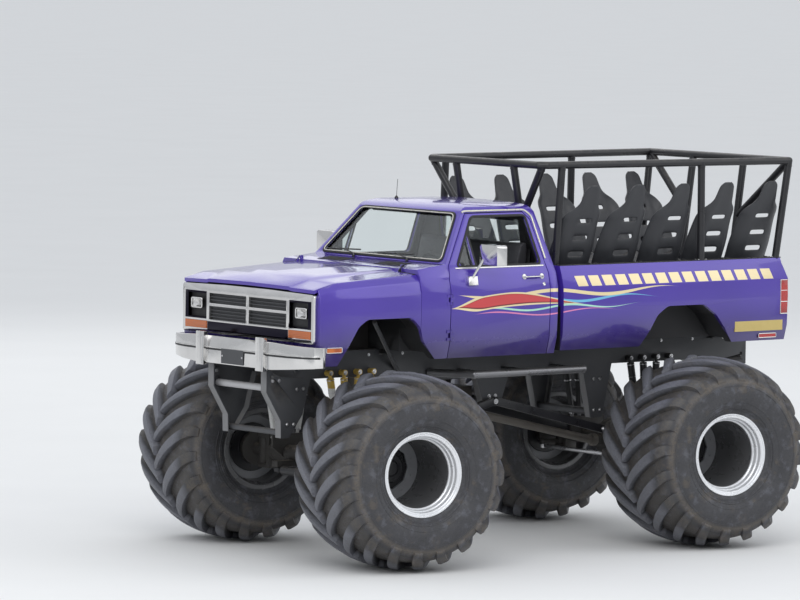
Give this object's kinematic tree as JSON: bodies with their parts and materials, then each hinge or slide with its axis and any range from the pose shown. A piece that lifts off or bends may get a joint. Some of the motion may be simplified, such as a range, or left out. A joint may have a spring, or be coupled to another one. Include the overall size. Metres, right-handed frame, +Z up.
{
  "type": "monster truck",
  "caption": "Monster truck: a purple pickup body with passenger cage and bucket seats on a tall four-wheel-steer chassis with huge tyres.",
  "frame": {"origin": "on the ground under the middle of the whole truck", "axes": "+X to the truck's front, +Y to its left, +Z up"},
  "size_m": [5.5747, 3.8396, 3.395],
  "materials": {
    "frame_paint": "flat",
    "black_paint": "satin",
    "cast_dark": "matte",
    "steel": "satin",
    "shock_white": "gloss",
    "body_purple": "gloss",
    "glass": "clear",
    "dark_trim": "matte",
    "seat_cloth": "woven",
    "chrome": "polished",
    "lamp_glass": "clear",
    "amber": "gloss",
    "red_lens": "gloss",
    "seat_shell": "textured",
    "tyre": "dusty",
    "rim_paint": "satin"
  },
  "bodies": {
    "chassis": {"frame_rail_left": "frame_paint", "frame_rail_right": "frame_paint", "frame_cross_tubes": "frame_paint", "side_tubes": "black_paint", "axle_front": "cast_dark", "axle_rear": "cast_dark", "axle_links": "black_paint", "shocks_front": "shock_white", "shocks_rear": "black_paint", "driveline": "cast_dark", "engine": "cast_dark", "cab_shell": "body_purple", "cab_glass": "glass", "dashboard": "dark_trim", "bench_seat": "seat_cloth", "front_fenders": "body_purple", "grille_surround": "chrome", "grille": "dark_trim", "headlamps": "lamp_glass", "amber_lamps": "amber", "front_bumper": "chrome", "bed": "body_purple", "tail_lamps": "red_lens", "cage": "black_paint", "bed_seats": "seat_shell"},
    "hood": {"hood": "body_purple"},
    "tailgate": {"tailgate": "body_purple"},
    "door_left": {"door_left": "body_purple", "vent_glass_left": "glass", "mirror_left": "chrome"},
    "door_right": {"door_right": "body_purple", "vent_glass_right": "glass", "mirror_right": "chrome"},
    "knuckle_front_left": {"knuckle_front_left": "cast_dark"},
    "wheel_front_left": {"tyre_front_left": "tyre", "rim_front_left": "rim_paint"},
    "knuckle_front_right": {"knuckle_front_right": "cast_dark"},
    "wheel_front_right": {"tyre_front_right": "tyre", "rim_front_right": "rim_paint"},
    "tie_rod_front": {"tie_rod_front": "steel"},
    "ram_barrel_front": {"ram_barrel_front": "black_paint"},
    "ram_rod_front": {"ram_rod_front": "steel"},
    "knuckle_rear_left": {"knuckle_rear_left": "cast_dark"},
    "wheel_rear_left": {"tyre_rear_left": "tyre", "rim_rear_left": "rim_paint"},
    "knuckle_rear_right": {"knuckle_rear_right": "cast_dark"},
    "wheel_rear_right": {"tyre_rear_right": "tyre", "rim_rear_right": "rim_paint"},
    "tie_rod_rear": {"tie_rod_rear": "steel"},
    "ram_barrel_rear": {"ram_barrel_rear": "black_paint"},
    "ram_rod_rear": {"ram_rod_rear": "steel"}
  },
  "joints": [
    {"name": "hood_hinge", "type": "hinge", "parent": "chassis", "child": "hood", "pos_m": [1.44, 0, 2.525], "axis": [0, -1, 0], "range_deg": [0, 60]},
    {"name": "tailgate_hinge", "type": "hinge", "parent": "chassis", "child": "tailgate", "pos_m": [-2.73, 0, 1.85], "axis": [0, -1, 0], "range_deg": [0, 90]},
    {"name": "door_left_hinge", "type": "hinge", "parent": "chassis", "child": "door_left", "pos_m": [1.136, 1.012, 2.1], "axis": [0, 0, -1], "range_deg": [0, 65]},
    {"name": "door_right_hinge", "type": "hinge", "parent": "chassis", "child": "door_right", "pos_m": [1.136, -1.012, 2.1], "axis": [0, 0, 1], "range_deg": [0, 65]},
    {"name": "steer_front_left", "type": "hinge", "parent": "chassis", "child": "knuckle_front_left", "pos_m": [1.782, 0.75, 0.838], "axis": [0, 0, 1], "range_deg": [-8.4, 31.6]},
    {"name": "roll_front_left", "type": "hinge", "parent": "knuckle_front_left", "child": "wheel_front_left", "pos_m": [1.88897, 1.27113, 0.838], "axis": [0.2011, 0.9796, 0], "continuous": true},
    {"name": "steer_front_right", "type": "hinge", "parent": "chassis", "child": "knuckle_front_right", "pos_m": [1.782, -0.75, 0.838], "axis": [0, 0, 1], "range_deg": [-8.4, 31.6]},
    {"name": "roll_front_right", "type": "hinge", "parent": "knuckle_front_right", "child": "wheel_front_right", "pos_m": [1.67503, -1.27113, 0.838], "axis": [0.2011, 0.9796, 0], "continuous": true},
    {"name": "tie_front", "type": "hinge", "parent": "knuckle_front_left", "child": "tie_rod_front", "pos_m": [1.58608, 0.79022, 0.713], "axis": [0, 0, 1], "range_deg": [-31.6, 8.4]},
    {"name": "ram_swing_front", "type": "hinge", "parent": "chassis", "child": "ram_barrel_front", "pos_m": [1.987, -0.29, 0.713], "axis": [0, 0, 1], "range_deg": [-0.117, 0.303]},
    {"name": "ram_slide_front", "type": "slide", "parent": "ram_barrel_front", "child": "ram_rod_front", "axis": [-0.0091, 1, 0], "range_m": [-0.02865, 0.10639]},
    {"name": "steer_rear_left", "type": "hinge", "parent": "chassis", "child": "knuckle_rear_left", "pos_m": [-1.603, 0.75, 0.838], "axis": [0, 0, 1], "range_deg": [-6.5, 23.5]},
    {"name": "roll_rear_left", "type": "hinge", "parent": "knuckle_rear_left", "child": "wheel_rear_left", "pos_m": [-1.52436, 1.27616, 0.838], "axis": [0.1478, 0.989, 0], "continuous": true},
    {"name": "steer_rear_right", "type": "hinge", "parent": "chassis", "child": "knuckle_rear_right", "pos_m": [-1.603, -0.75, 0.838], "axis": [0, 0, 1], "range_deg": [-6.5, 23.5]},
    {"name": "roll_rear_right", "type": "hinge", "parent": "knuckle_rear_right", "child": "wheel_rear_right", "pos_m": [-1.68163, -1.27616, 0.838], "axis": [0.1478, 0.989, 0], "continuous": true},
    {"name": "tie_rear", "type": "hinge", "parent": "knuckle_rear_left", "child": "tie_rod_rear", "pos_m": [-1.4052, 0.72044, 0.713], "axis": [0, 0, 1], "range_deg": [-23.5, 6.5]},
    {"name": "ram_swing_rear", "type": "hinge", "parent": "chassis", "child": "ram_barrel_rear", "pos_m": [-1.808, -0.29, 0.713], "axis": [0, 0, 1], "range_deg": [-0.238, 0.102]},
    {"name": "ram_slide_rear", "type": "slide", "parent": "ram_barrel_rear", "child": "ram_rod_rear", "axis": [0.0067, 1, 0], "range_m": [-0.08089, 0.02274]}
  ],
  "couplings": [
    {"joint": "steer_front_right", "follows": "steer_front_left", "ratio": 1},
    {"joint": "tie_front", "follows": "steer_front_left", "ratio": -1},
    {"joint": "ram_swing_front", "follows": "steer_front_left", "ratio": 0.008},
    {"joint": "ram_slide_front", "follows": "steer_front_left", "m_per_rad": 0.192},
    {"joint": "steer_rear_right", "follows": "steer_rear_left", "ratio": 1},
    {"joint": "tie_rear", "follows": "steer_rear_left", "ratio": -1},
    {"joint": "ram_swing_rear", "follows": "steer_rear_left", "ratio": -0.008},
    {"joint": "ram_slide_rear", "follows": "steer_rear_left", "m_per_rad": -0.196}
  ]
}
